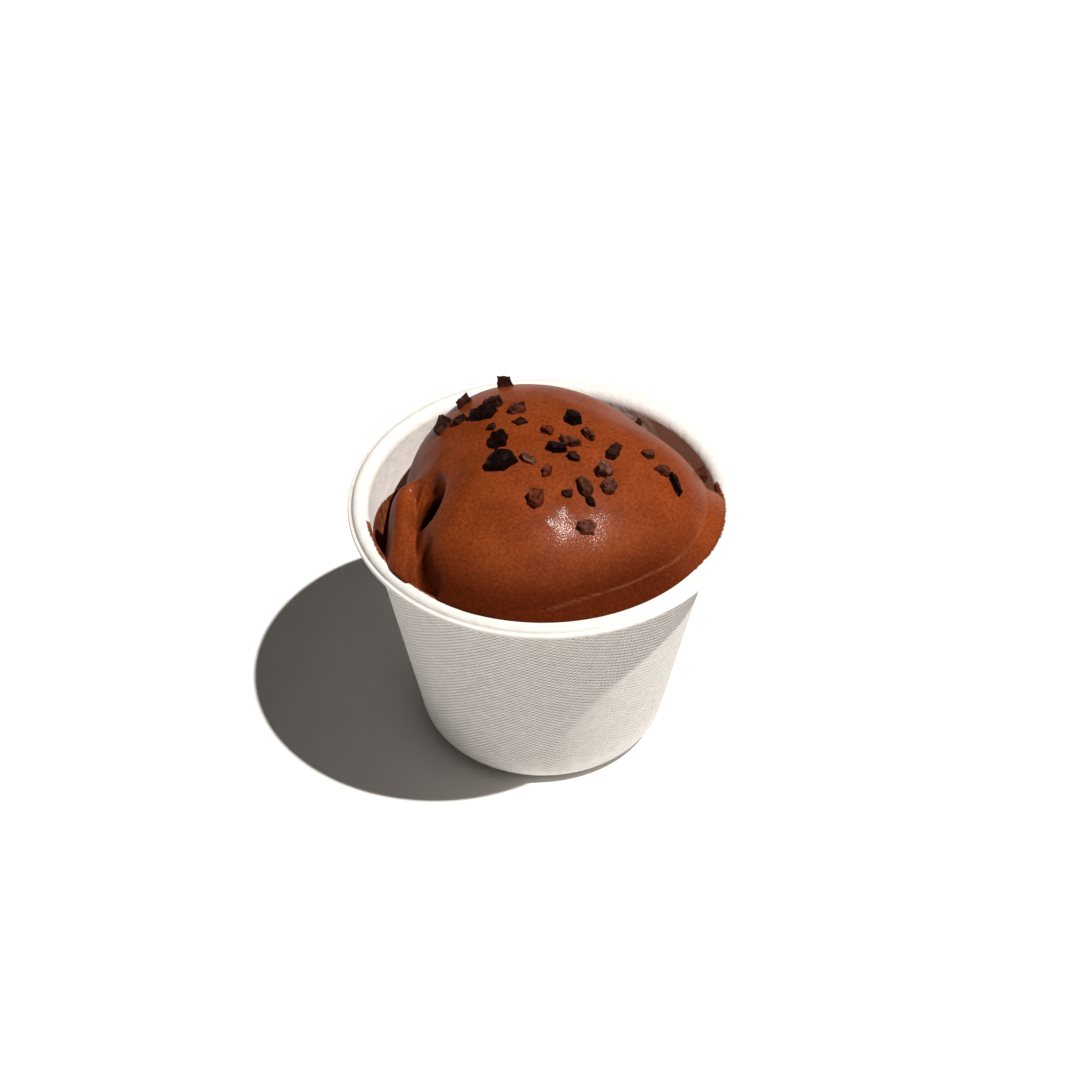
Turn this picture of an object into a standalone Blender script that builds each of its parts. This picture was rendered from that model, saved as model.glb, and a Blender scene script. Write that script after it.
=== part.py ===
"""Gelato cup: a heap of chocolate gelato in a moulded fibre cup, with cacao nibs on top.

The origin is the centre of the cup's base, on the table, with +Z up. The side that faces the
viewer is -Y. Sizes are in millimetres up to the point where a mesh is made, which is in metres.
"""
import math
import random
from collections import namedtuple

import bmesh
import bpy
import numpy as np
from mathutils import Matrix, Vector

MM = 0.001
GAP = 0.3
MERGE_DISTANCE = 0.004
SHARP_ANGLE = math.radians(38.0)

# Cup: a tapered wall on a flat base, with a rounded bead and a thin brim round its mouth
CUP_SEGMENTS = 80
WALL = 0.9
BASE_RADIUS = 25.0
BASE_CORNER = 5.0
MOUTH_RADIUS = 36.2
WALL_HEIGHT = 55.1
WALL_SLOPE = (MOUTH_RADIUS - BASE_RADIUS) / WALL_HEIGHT
BRIM_RADIUS = 40.0
BRIM_TOP = 56.0
BRIM_EDGE = 0.3
BEAD_TOP = 57.0
BEAD_RADIUS = 37.4
BEAD_OUTSIDE = 1.6
BEAD_INSIDE = 2.1
FLOOR = 1.0

# Gelato heap: a dome with a different reach in each direction, 30 degrees apart from +X
DOME_CENTRE = (-3.0, 1.0)
DOME_LEAN = 0.12
DOME_BASE = 50.0
DOME_RISE = 25.0
DOME_FLANK = 4.0
DOME_REACH = (38.1, 30.5, 29.6, 31.3, 32.5, 29.1, 25.4, 25.5, 34.3, 38.5, 40.0, 41.5)
CREVICE_LEVEL = 42.0

# Collar: gelato pressed up to the rim along the front and the right side
COLLAR_EDGE = (37.0, 57.0)
COLLAR_WIDTH_RIGHT = 4.7
COLLAR_WIDTH_FRONT = 3.6
COLLAR_SLOPE_RIGHT = 0.55
COLLAR_SLOPE_FRONT = 0.8
COLLAR_DROP = 12.0
COLLAR_SHRINK = 9.0
COLLAR_FALL = 4.0
COLLAR_BLEND = 0.5
CREVICE_BLEND = 3.0
COLLAR_TURN = (20.0, 80.0)
COLLAR_START = -140.0
COLLAR_END = -4.0
COLLAR_FADE = 27.0

# Lip: a fold that hangs down the left side, from the dome to the rim, as points on its crest
LIP_PATH = (
    (-21.5, -2.0, 63.5),
    (-25.0, -2.2, 62.8),
    (-27.4, -3.6, 62.4),
    (-28.0, -7.0, 61.8),
    (-28.0, -11.0, 61.2),
    (-27.9, -15.6, 60.2),
    (-28.3, -20.0, 58.8),
    (-28.0, -25.0, 57.0),
)
LIP_HALF_WIDTH = 3.0
LIP_DEPTH = 18.0
LIP_STEPS = 14
LIP_SIDES = 16
LIP_CLEARANCE = 0.2
LIP_FOOT = 34.0

# Pocket between the lip and the dome
POCKET_CENTRE = (-22.3, -9.6, 61.0)
POCKET_HALF_SIZE = (3.0, 6.3, 9.0)
POCKET_TURN = -4.0
POCKET_SEGMENTS = 20
POCKET_RINGS = 14

# Gelato mesh
HEAP_SEGMENTS = 96
INNER_ROWS = 6
OUTER_ROWS = 15

# Cacao nibs: centre in plan, length, width, height, turn in degrees
Nib = namedtuple("Nib", "x y length width height turn")
NIBS = (
    Nib(-7.8, 20.8, 3.3, 2.6, 2.4, 10),
    Nib(-15.8, 15.0, 3.8, 1.6, 2.0, 50),
    Nib(-9.8, 9.8, 4.6, 3.2, 1.8, -15),
    Nib(-11.8, 6.2, 6.4, 3.6, 2.2, -8),
    Nib(-20.0, 9.0, 4.8, 3.6, 2.0, 35),
    Nib(-16.6, 7.6, 2.8, 2.4, 1.4, 10),
    Nib(-5.4, 6.2, 3.7, 3.0, 1.8, 15),
    Nib(-4.5, 2.1, 4.0, 2.2, 1.0, -4),
    Nib(-10.1, 1.4, 2.2, 1.8, 1.2, 60),
    Nib(-8.7, -3.0, 4.4, 3.8, 2.0, 40),
    Nib(0.9, -0.4, 2.6, 2.4, 1.4, 60),
    Nib(6.0, 3.4, 4.2, 3.8, 2.2, 20),
    Nib(8.9, -0.7, 4.4, 1.8, 1.6, -50),
    Nib(2.6, -5.2, 4.8, 2.4, 1.6, -6),
    Nib(5.5, -3.4, 5.0, 2.6, 1.4, -10),
    Nib(6.0, -7.2, 3.2, 2.2, 1.4, -15),
    Nib(13.8, -4.4, 4.0, 3.0, 1.8, 60),
    Nib(-8.4, -9.0, 6.8, 4.4, 2.6, 8),
    Nib(-3.0, -8.4, 4.2, 2.4, 1.2, -35),
    Nib(0.7, -11.4, 3.4, 2.2, 1.4, 85),
    Nib(11.8, -9.8, 3.8, 3.2, 2.2, 10),
    Nib(8.0, -14.2, 5.6, 2.6, 2.0, -60),
    Nib(9.3, -16.9, 2.8, 1.6, 1.2, -50),
    Nib(12.8, -13.0, 4.6, 3.6, 1.8, 25),
    Nib(4.7, -16.3, 2.6, 2.2, 1.4, 0),
    Nib(-1.4, -18.0, 4.6, 4.0, 2.6, 80),
    Nib(8.4, -22.0, 4.8, 3.2, 1.4, -10),
    Nib(20.8, -1.7, 3.2, 2.8, 1.3, -10),
    Nib(23.7, -4.6, 3.6, 2.6, 1.4, -15),
    Nib(26.2, -6.8, 6.2, 1.4, 1.6, -62),
    Nib(31.8, 4.8, 4.4, 1.8, 2.0, 20),
    Nib(19.4, 16.0, 2.4, 1.4, 1.4, 60),
)
HIDDEN_NIBS = 6
HIDDEN_NIB_AZIMUTHS = (58.0, 130.0)
HIDDEN_NIB_SHARES = (0.965, 0.99)
HIDDEN_NIB_SIZE = (2.6, 4.2)
HIDDEN_NIB_FLATNESS = 0.5
NIB_SIDES = 6
NIB_SPREAD = (0.9, 1.2)
NIB_TOP = (0.66, 0.94)
NIB_TILT = 0.3
NIB_TURN_JITTER = 0.25
NIB_TOP_JITTER = 0.08
NIB_SINK = 0.4
SEED = 7


def smooth_max(a, b, blend):
    """The higher of two surfaces, rounded where they meet."""
    return 0.5 * (a + b + np.sqrt((a - b) ** 2 + blend ** 2))


def smooth_step(low, high, value):
    """A soft ramp from 0 at low to 1 at high."""
    t = np.clip((value - low) / (high - low), 0.0, 1.0)
    return t * t * (3.0 - 2.0 * t)


def round_the_compass(values, angle):
    """A smooth closed curve through values spaced evenly round a circle (Catmull-Rom)."""
    values = np.array(values)
    place = np.mod(angle / (2.0 * math.pi), 1.0) * len(values)
    index = np.floor(place).astype(int)
    t = place - index
    before, here, after, beyond = (values[(index + step) % len(values)] for step in (-1, 0, 1, 2))
    slope_here = 0.5 * (after - before)
    slope_after = 0.5 * (beyond - here)
    return (
        (2 * t ** 3 - 3 * t ** 2 + 1) * here
        + (t ** 3 - 2 * t ** 2 + t) * slope_here
        + (3 * t ** 2 - 2 * t ** 3) * after
        + (t ** 3 - t ** 2) * slope_after
    )


def dome_height(x, y):
    """The heap's main mass, steep on its left and wide on its right."""
    across = x - DOME_CENTRE[0] - DOME_LEAN * (y - DOME_CENTRE[1])
    along = y - DOME_CENTRE[1]
    reach = round_the_compass(DOME_REACH, np.arctan2(along, across))
    offset = np.hypot(across, along) / reach
    cap = np.sqrt(np.clip(1.0 - offset ** 2, 0.0, 1.0))
    return DOME_BASE + DOME_RISE * (cap - DOME_FLANK * np.clip(offset - 1.0, 0.0, None))


def collar_height(x, y):
    """The band that is pressed against the rim along the front and the right side."""
    radius = np.hypot(x, y)
    azimuth = np.degrees(np.arctan2(y, x))
    past_end = smooth_step(COLLAR_END, COLLAR_END + COLLAR_FADE, azimuth)
    before_start = smooth_step(-COLLAR_START, COLLAR_FADE - COLLAR_START, -azimuth)
    to_front = smooth_step(*COLLAR_TURN, -azimuth)
    slope = COLLAR_SLOPE_RIGHT + (COLLAR_SLOPE_FRONT - COLLAR_SLOPE_RIGHT) * to_front
    width = COLLAR_WIDTH_RIGHT + (COLLAR_WIDTH_FRONT - COLLAR_WIDTH_RIGHT) * to_front
    fade = np.maximum(past_end, before_start)
    reach = COLLAR_EDGE[0] - COLLAR_SHRINK * fade
    rise = slope * (width - np.abs(radius - reach + width)) - COLLAR_FALL * np.clip(radius - reach, 0.0, None)
    return COLLAR_EDGE[1] + rise - COLLAR_DROP * fade ** 2


def heap_height(x, y):
    """The top surface of the gelato, in millimetres over the table."""
    height = smooth_max(dome_height(x, y), CREVICE_LEVEL, CREVICE_BLEND)
    return smooth_max(height, collar_height(x, y), COLLAR_BLEND)


def cup_inside_radius(height):
    """Inner radius of the cup at a height, up to the rounded inside edge of its bead."""
    middle = BEAD_TOP - BEAD_INSIDE
    wall = BASE_RADIUS - WALL + WALL_SLOPE * np.minimum(height, middle)
    rise = np.clip((height - middle) / BEAD_INSIDE, 0.0, 1.0)
    edge_radius = BEAD_RADIUS - (BASE_RADIUS - WALL + WALL_SLOPE * middle)
    return wall + edge_radius * (1.0 - np.sqrt(1.0 - rise ** 2))


def arc(centre, radius_out, radius_up, start, end, steps):
    """Points of an elliptical arc in (radius, height), with angles in degrees."""
    points = []
    for step in range(steps + 1):
        angle = math.radians(start + (end - start) * step / steps)
        points.append((centre[0] + radius_out * math.cos(angle), centre[1] + radius_up * math.sin(angle)))
    return points


def cup_profile():
    """The cup's section, from the middle of the base, up the outside and down the inside."""
    taper = math.degrees(math.atan(WALL_SLOPE))
    inner_corner = BASE_CORNER - WALL
    corner_centre = (BASE_RADIUS - BASE_CORNER / math.cos(math.radians(taper)) + WALL_SLOPE * BASE_CORNER,
                     BASE_CORNER)
    bead_middle = BEAD_TOP - BEAD_INSIDE
    bead_foot = BRIM_TOP - 0.1
    profile = arc(corner_centre, BASE_CORNER, BASE_CORNER, -90.0, -taper, 5)
    profile.append((MOUTH_RADIUS, WALL_HEIGHT))
    profile.append((BRIM_RADIUS - BRIM_EDGE, WALL_HEIGHT))
    profile.append((BRIM_RADIUS, WALL_HEIGHT + BRIM_EDGE))
    profile.append((BRIM_RADIUS, BRIM_TOP - BRIM_EDGE))
    profile.append((BRIM_RADIUS - BRIM_EDGE, BRIM_TOP))
    profile += arc((BEAD_RADIUS, bead_foot), BEAD_OUTSIDE, BEAD_TOP - bead_foot, 0.0, 90.0, 4)
    inside_radius = cup_inside_radius(BEAD_TOP - BEAD_INSIDE)
    profile += arc((BEAD_RADIUS, bead_middle), BEAD_RADIUS - inside_radius, BEAD_INSIDE, 90.0, 180.0, 5)[1:]
    inside_centre = (corner_centre[0], FLOOR + inner_corner)
    profile += arc(inside_centre, inner_corner, inner_corner, -taper, -90.0, 4)
    return profile


def lathe(name, rings):
    """A closed mesh from rings of points, one below the next, with a pole at each end."""
    rows, segments = rings.shape[:2]
    top = len(rings.reshape(-1, 3))
    first_pole = rings[0].mean(axis=0)
    last_pole = rings[-1].mean(axis=0)
    vertices = np.vstack([rings.reshape(-1, 3), first_pole, last_pole]) * MM
    faces = []
    for segment in range(segments):
        after = (segment + 1) % segments
        faces.append((top, segment, after))
        last_row = (rows - 1) * segments
        faces.append((top + 1, last_row + after, last_row + segment))
        for row in range(rows - 1):
            here = row * segments
            below = here + segments
            faces.append((here + segment, below + segment, below + after, here + after))
    mesh = bpy.data.meshes.new(name)
    mesh.from_pydata([tuple(vertex) for vertex in vertices], [], faces)
    mesh.update()
    return mesh


def turned(profile, segments):
    """Rings of points for a profile of (radius, height) turned round the Z axis."""
    angles = np.arange(segments) * 2.0 * math.pi / segments
    rings = np.zeros((len(profile), segments, 3))
    for row, (radius, height) in enumerate(profile):
        rings[row, :, 0] = radius * np.cos(angles)
        rings[row, :, 1] = radius * np.sin(angles)
        rings[row, :, 2] = height
    return rings


def contact_radius(azimuth):
    """Where the gelato's top meets the cup's wall along one meridian."""
    radius = np.linspace(0.0, BEAD_RADIUS, 2000)
    height = heap_height(radius * math.cos(azimuth), radius * math.sin(azimuth))
    inside = radius < cup_inside_radius(height) - GAP
    return radius[-1] if inside.all() else radius[np.argmin(inside) - 1]


def heap_top(azimuth):
    """The gelato's top along one meridian, in steps that are closer together near the wall."""
    inner = np.linspace(0.0, 0.5, INNER_ROWS + 1)[1:]
    outer = np.linspace(0.5, 1.0, OUTER_ROWS + 1)[1:]
    radius = contact_radius(azimuth) * np.concatenate([inner, outer])
    height = heap_height(radius * math.cos(azimuth), radius * math.sin(azimuth))
    return list(zip(radius, height))


def heap_side(contact):
    """The gelato's side, from its top edge down the cup's wall to the floor."""
    bottom = FLOOR + GAP
    corner = BASE_CORNER - WALL
    upper = min(contact - 0.5, BEAD_TOP - BEAD_INSIDE)
    middle = 0.5 * (upper + bottom + corner)
    levels = [contact + (upper - contact) * share for share in (0.3, 0.65, 1.0)] + [middle]
    points = [(cup_inside_radius(level) - GAP, level) for level in levels]
    foot_radius = cup_inside_radius(bottom + corner) - GAP
    points += arc((foot_radius - corner, bottom + corner), corner, corner, 0.0, -90.0, 3)
    return points


def make_material(name, colour, roughness):
    """A plain Principled BSDF."""
    material = bpy.data.materials.new(name)
    material.use_nodes = True
    shader = material.node_tree.nodes["Principled BSDF"]
    shader.inputs["Base Color"].default_value = (*colour, 1.0)
    shader.inputs["Roughness"].default_value = roughness
    shader.inputs["Metallic"].default_value = 0.0
    return material


def add_object(name, mesh, material):
    """Link a mesh as a named object with its material."""
    item = bpy.data.objects.new(name, mesh)
    bpy.context.scene.collection.objects.link(item)
    mesh.materials.append(material)
    return item


def make_cup():
    """The moulded fibre cup, one turned solid."""
    profile = cup_profile()
    mesh = lathe("cup", turned(profile, CUP_SEGMENTS))
    mesh.flip_normals()
    mesh.shade_smooth()
    mesh.set_sharp_from_angle(angle=SHARP_ANGLE)
    return add_object("cup", mesh, make_material("moulded_fibre", (0.80, 0.77, 0.72), 0.85))


def make_heap():
    """The gelato, from the cup's floor up to the top of the dome."""
    azimuths = np.arange(HEAP_SEGMENTS) * 2.0 * math.pi / HEAP_SEGMENTS
    tops = [heap_top(azimuth) for azimuth in azimuths]
    meridians = [top + heap_side(top[-1][1]) for top in tops]
    rings = np.zeros((len(meridians[0]), HEAP_SEGMENTS, 3))
    for segment, (azimuth, points) in enumerate(zip(azimuths, meridians)):
        for row, (radius, height) in enumerate(points):
            rings[row, segment] = (radius * math.cos(azimuth), radius * math.sin(azimuth), height)
    mesh = lathe("gelato", rings)
    return add_object("gelato", mesh, make_material("chocolate_gelato", (0.20, 0.055, 0.022), 0.4))


def smooth_path(points, steps):
    """Points spaced along a smooth open curve through the given ones (Catmull-Rom)."""
    points = [Vector(point) for point in points]
    ends = [points[0] * 2.0 - points[1]] + points + [points[-1] * 2.0 - points[-2]]
    curve = []
    for step in range(steps + 1):
        place = step / steps * (len(points) - 1)
        index = min(int(place), len(points) - 2)
        t = place - index
        before, here, after, beyond = ends[index:index + 4]
        curve.append(0.5 * (2.0 * here + (after - before) * t
                            + (2.0 * before - 5.0 * here + 4.0 * after - beyond) * t ** 2
                            + (3.0 * here - before - 3.0 * after + beyond) * t ** 3))
    return curve


def ridge(name, crest, half_width, depth, steps, sides):
    """A closed rod whose top follows a crest line: round above, long below, with tapered ends."""
    curve = smooth_path(crest, steps)
    rings = np.zeros((steps + 1, sides, 3))
    for step, point in enumerate(curve):
        ahead = curve[min(step + 1, steps)] - curve[max(step - 1, 0)]
        across = Vector((ahead.y, -ahead.x, 0.0)).normalized()
        taper = math.sqrt(math.sin(math.pi * (step + 0.4) / (steps + 0.8)))
        width = half_width * taper
        for side in range(sides):
            angle = 2.0 * math.pi * side / sides
            spot = point + across * width * math.cos(angle)
            spot.z += max(math.sin(angle), 0.0) * width + min(math.sin(angle), 0.0) * depth * taper
            spot.z -= half_width
            rings[step, side] = spot
    return lathe(name, rings)


def loose(name, mesh):
    """A helper object that only takes part in a Boolean."""
    item = bpy.data.objects.new(name, mesh)
    bpy.context.scene.collection.objects.link(item)
    item.hide_render = True
    item.display_type = "WIRE"
    return item


def apply_boolean(target, operation, tool=None, collection=None):
    """Apply one Boolean with an object or a collection, and remove what it used."""
    change = target.modifiers.new("boolean", "BOOLEAN")
    change.operation = operation
    change.solver = "EXACT"
    used = [tool]
    if collection is None:
        change.object = tool
    else:
        change.operand_type = "COLLECTION"
        change.collection = collection
        used = list(collection.objects)
    with bpy.context.temp_override(object=target, active_object=target):
        bpy.ops.object.modifier_apply(modifier=change.name)
    for item in used:
        bpy.data.objects.remove(item)


def make_pocket():
    """The hollow between the lip and the dome, as an upright ellipsoid."""
    shape = bmesh.new()
    bmesh.ops.create_uvsphere(shape, u_segments=POCKET_SEGMENTS, v_segments=POCKET_RINGS, radius=1.0)
    turn = Matrix.Rotation(math.radians(POCKET_TURN), 4, "Z")
    size = Matrix.Diagonal((*POCKET_HALF_SIZE, 1.0))
    shape.transform(Matrix.Scale(MM, 4) @ Matrix.Translation(POCKET_CENTRE) @ turn @ size)
    mesh = bpy.data.meshes.new("pocket")
    shape.to_mesh(mesh)
    shape.free()
    return loose("pocket", mesh)


def make_lip():
    """The lip, trimmed to stay inside the cup."""
    lip = loose("lip", ridge("lip", LIP_PATH, LIP_HALF_WIDTH, LIP_DEPTH, LIP_STEPS, LIP_SIDES))
    levels = [LIP_FOOT] + [BEAD_TOP - BEAD_INSIDE * share for share in (1.0, 0.7, 0.4, 0.2)]
    profile = [(cup_inside_radius(level) - GAP - LIP_CLEARANCE, level) for level in levels]
    profile.append((profile[-1][0], DOME_BASE + DOME_RISE))
    inside = lathe("inside", turned(profile, HEAP_SEGMENTS))
    inside.flip_normals()
    apply_boolean(lip, "INTERSECT", loose("inside", inside))
    return lip


def carve_left_side(heap):
    """Add the lip and hollow the pocket between it and the dome."""
    apply_boolean(heap, "UNION", make_lip())
    apply_boolean(heap, "DIFFERENCE", make_pocket())


def merge_close(mesh):
    """Join points that the unions left almost on top of each other."""
    shape = bmesh.new()
    shape.from_mesh(mesh)
    bmesh.ops.remove_doubles(shape, verts=shape.verts, dist=MERGE_DISTANCE * MM)
    bmesh.ops.dissolve_degenerate(shape, edges=shape.edges, dist=MERGE_DISTANCE * MM)
    shape.to_mesh(mesh)
    shape.free()


def surface_normal(x, y):
    """The way the gelato's surface faces at a place in plan."""
    step = 0.5
    slope_x = (heap_height(x + step, y) - heap_height(x - step, y)) / (2.0 * step)
    slope_y = (heap_height(x, y + step) - heap_height(x, y - step)) / (2.0 * step)
    return Vector((-slope_x, -slope_y, 1.0)).normalized()


def hidden_nibs(draw):
    """A few nibs on the back slope, which the viewer doesn't see."""
    nibs = []
    for index in range(HIDDEN_NIBS):
        first, last = HIDDEN_NIB_AZIMUTHS
        azimuth = math.radians(first + (last - first) * (index + draw.uniform(0.2, 0.8)) / HIDDEN_NIBS)
        radius = draw.uniform(*HIDDEN_NIB_SHARES) * float(round_the_compass(DOME_REACH, np.array(azimuth)))
        length, width = (draw.uniform(*HIDDEN_NIB_SIZE) for _ in range(2))
        x = DOME_CENTRE[0] + radius * math.cos(azimuth) + DOME_LEAN * radius * math.sin(azimuth)
        y = DOME_CENTRE[1] + radius * math.sin(azimuth)
        nibs.append(Nib(x, y, length, width,
                        HIDDEN_NIB_FLATNESS * width, draw.uniform(0.0, 180.0)))
    return nibs


def nib_points(nib, draw):
    """Corners of one nib about its middle: an uneven slab, smaller on top, with a tilted face."""
    points = []
    start = draw.uniform(0.0, 1.0)
    slope = draw.uniform(-NIB_TILT, NIB_TILT)
    for corner in range(NIB_SIDES):
        angle = 2.0 * math.pi * (corner + start + draw.uniform(-NIB_TURN_JITTER, NIB_TURN_JITTER)) / NIB_SIDES
        foot = draw.uniform(*NIB_SPREAD)
        top = foot * draw.uniform(*NIB_TOP)
        x = math.cos(angle)
        y = math.sin(angle)
        rise = 0.5 + slope * x * top + draw.uniform(-NIB_TOP_JITTER, NIB_TOP_JITTER)
        points.append((x * foot * nib.length / 2, y * foot * nib.width / 2, -nib.height / 2))
        points.append((x * top * nib.length / 2, y * top * nib.width / 2, rise * nib.height))
    return points


def make_nib(index, nib, draw, material):
    """One nib: a broken bit of bean with flat faces, set a little into the gelato."""
    normal = surface_normal(nib.x, nib.y)
    level = float(heap_height(np.array(nib.x), np.array(nib.y)))
    lift = nib.height * 0.5 - NIB_SINK
    place = Vector((nib.x, nib.y, level)) + lift * normal
    upright = Vector((0.0, 0.0, 1.0)).rotation_difference(normal).to_matrix().to_4x4()
    turn = upright @ Matrix.Rotation(math.radians(nib.turn), 4, "Z")
    shape = bmesh.new()
    for point in nib_points(nib, draw):
        shape.verts.new(point)
    bmesh.ops.convex_hull(shape, input=shape.verts)
    shape.transform(Matrix.Scale(MM, 4) @ Matrix.Translation(place) @ turn)
    mesh = bpy.data.meshes.new(f"nib_{index}")
    shape.to_mesh(mesh)
    shape.free()
    return add_object(f"nib_{index}", mesh, material)


def fuse_nibs(heap):
    """Join the nibs to the gelato in one union, then drop the loose copies."""
    draw = random.Random(SEED)
    nibs = list(NIBS) + hidden_nibs(draw)
    material = make_material("cacao_nib", (0.03, 0.012, 0.008), 0.5)
    toppings = bpy.data.collections.new("nibs")
    bpy.context.scene.collection.children.link(toppings)
    for index, nib in enumerate(nibs):
        item = make_nib(index, nib, draw, material)
        bpy.context.scene.collection.objects.unlink(item)
        toppings.objects.link(item)
    apply_boolean(heap, "UNION", collection=toppings)
    bpy.data.collections.remove(toppings)
    merge_close(heap.data)
    heap.data.shade_smooth()
    heap.data.set_sharp_from_angle(angle=SHARP_ANGLE)


def main():
    for item in list(bpy.data.objects):
        bpy.data.objects.remove(item)
    make_cup()
    heap = make_heap()
    carve_left_side(heap)
    fuse_nibs(heap)


main()
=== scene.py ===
"""Looks for the gelato cup: the gelato's surface, the cacao nibs, the fibre cup, light and camera.

Sizes are in millimetres up to the point where a mesh is made, in the same frame as the solids:
the origin is the centre of the cup's base, +Z is up and -Y faces the viewer.
"""
import math
import random
from collections import namedtuple

import bmesh
import bpy
import numpy as np
from mathutils import Matrix, Vector, noise


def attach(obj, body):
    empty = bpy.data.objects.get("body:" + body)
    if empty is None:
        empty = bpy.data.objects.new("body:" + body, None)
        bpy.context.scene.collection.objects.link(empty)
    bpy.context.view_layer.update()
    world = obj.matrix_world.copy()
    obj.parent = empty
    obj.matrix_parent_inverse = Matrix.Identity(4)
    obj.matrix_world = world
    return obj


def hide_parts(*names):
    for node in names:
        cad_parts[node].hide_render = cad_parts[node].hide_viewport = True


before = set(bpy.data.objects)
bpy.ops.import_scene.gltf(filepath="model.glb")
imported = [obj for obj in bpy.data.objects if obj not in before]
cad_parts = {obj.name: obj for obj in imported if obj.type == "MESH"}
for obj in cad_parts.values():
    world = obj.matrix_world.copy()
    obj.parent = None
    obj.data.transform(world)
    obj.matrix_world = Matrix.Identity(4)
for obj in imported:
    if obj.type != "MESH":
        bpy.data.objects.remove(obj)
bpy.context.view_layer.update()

MM = 0.001

# Cup: wall, brim and the rounded bead on top of it
BASE_RADIUS = 25.0
BASE_CORNER = 5.0
WALL = 0.9
MOUTH_RADIUS = 36.2
WALL_HEIGHT = 55.1
WALL_SLOPE = (MOUTH_RADIUS - BASE_RADIUS) / WALL_HEIGHT
BRIM_RADIUS = 40.0
BRIM_TOP = 56.0
BRIM_EDGE = 0.3
BEAD_TOP = 57.0
BEAD_RADIUS = 37.4
BEAD_OUTSIDE = 1.6
BEAD_INSIDE = 2.1
BEAD_SUNK = 0.1
FLOOR = 1.0
BRIM_SHIFT = 0.4

# Cup mesh
CUP_SEGMENTS = 480
CUP_WALL_ROWS = 148
CUP_INSIDE_ROWS = 10
CUP_CORNER_STEPS = 8
CUP_EDGE_STEPS = 8
BEAD_INSIDE_STEPS = 10
INSIDE_CORNER_STEPS = 6

# Net pressed into the outside: waves round the cup, how many of them it winds by, and their pitch
NET_ROUND = 120
NET_SLANT = 36
NET_PITCH = 0.96
NET_DEPTH = 0.06
NET_FULL_LEVEL = 10.0

# In the looks below, a noise is a scale and a detail, and a bump is a strength and a height
FIBRE_NOISE = (520.0, 5.0)
FIBRE_RANGE = (0.3, 0.7)
FIBRE_DARKER = (0.79, 0.752, 0.71)
FIBRE_LIGHTER = (0.87, 0.832, 0.79)
FIBRE_BUMP = (0.9, 0.23)
FIBRE_ROUGHNESS = 0.85
FIBRE_SPECULAR = 0.2

# Gelato smeared on the rim: how far out it reaches at each azimuth in degrees
STAIN_REACH = (
    (-176.0, 0.0),
    (-170.0, 36.3),
    (-158.0, 36.5),
    (-152.0, 36.9),
    (-40.0, 36.9),
    (-28.0, 37.5),
    (-15.0, 37.6),
    (-1.0, 37.0),
    (9.0, 36.2),
    (13.0, 0.0),
)

# Gelato smeared on the inner wall beside the lip, with the lip's shadow on that wall painted in as the
# same dark brown: the level the patch reaches at each azimuth
SMEAR_AND_SHADOW_LEVELS = (
    (135.0, 0.0),
    (148.0, 44.5),
    (158.0, 47.4),
    (172.0, 49.8),
    (183.0, 51.3),
    (194.0, 54.0),
    (205.0, 54.0),
    (225.0, 0.0),
)

# Colours of the smeared gelato, also used for the painted shadow on the inner wall beside the lip, and
# how ragged and soft its edge is
STAIN_AND_SHADOW_DARKER = (0.07, 0.012, 0.003)
STAIN_AND_SHADOW_LIGHTER = (0.30, 0.075, 0.02)
STAIN_NOISE = (1300.0, 4.0)
STAIN_RAGGED = 0.45
STAIN_SOFT = 0.25
STAIN_LIMIT = 2.0

# Dome of gelato, with its reach in directions 30 degrees apart from +X
DOME_CENTRE = (-3.0, 1.0)
DOME_LEAN = 0.12
DOME_BASE = 50.0
DOME_RISE = 25.0
DOME_FLANK = 4.0
DOME_REACH = (38.1, 30.5, 29.6, 31.3, 32.5, 29.1, 25.4, 25.5, 34.3, 38.5, 40.0, 41.5)
CREVICE_LEVEL = 42.0
CREVICE_BLEND = 3.0

# Collar of gelato pressed against the rim: its edge as radius and level, and its crest further in.
# Past its ends, given as azimuths, it curls inwards and sinks.
COLLAR_EDGE = (37.0, 57.0)
COLLAR_WIDTH_RIGHT = 4.7
COLLAR_WIDTH_FRONT = 3.6
COLLAR_SLOPE_RIGHT = 0.55
COLLAR_SLOPE_FRONT = 0.8
COLLAR_DROP = 12.0
COLLAR_SHRINK = 9.0
COLLAR_FALL = 4.0
COLLAR_BLEND = 0.5
COLLAR_ROUND = 0.8
COLLAR_TURN = (20.0, 80.0)
COLLAR_START = -140.0
COLLAR_END = -4.0
COLLAR_FADE = 27.0

# Lip: a fold that hangs down the left side, as points on its crest with the width at each
LIP_PATH = (
    (-21.5, -2.0, 63.5),
    (-25.0, -2.2, 62.8),
    (-27.4, -3.6, 62.4),
    (-28.0, -7.0, 61.8),
    (-28.0, -11.0, 61.2),
    (-27.9, -15.6, 60.2),
    (-28.3, -20.0, 58.8),
    (-28.0, -25.0, 57.0),
)
LIP_HALF_WIDTHS = (2.4, 2.9, 3.1, 3.1, 3.1, 3.6, 3.7, 3.4)
LIP_DEPTH = 7.0
LIP_FALL = 8.0
LIP_BLEND = 1.8

# Pocket between the lip and the dome
POCKET_CENTRE = (-22.3, -9.6)
POCKET_HALF_SIZE = (3.1, 6.3)
POCKET_TURN = -4.0
POCKET_DEPTH = 17.0
POCKET_SIDE = 0.76
POCKET_BACK_SHARE = 0.2
POCKET_PLUNGE = (0.2, 0.6)

# Groove that runs from the pocket down to the rim
GROOVE_PATH = (
    (-24.7, -20.5, 58.0),
    (-25.0, -22.5, 56.6),
    (-24.4, -26.0, 55.6),
    (-22.6, -29.3, 55.0),
)
GROOVE_HALF_WIDTH = 1.8
GROOVE_DEPTH = 2.2
GROOVE_BLEND = 0.8

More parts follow.
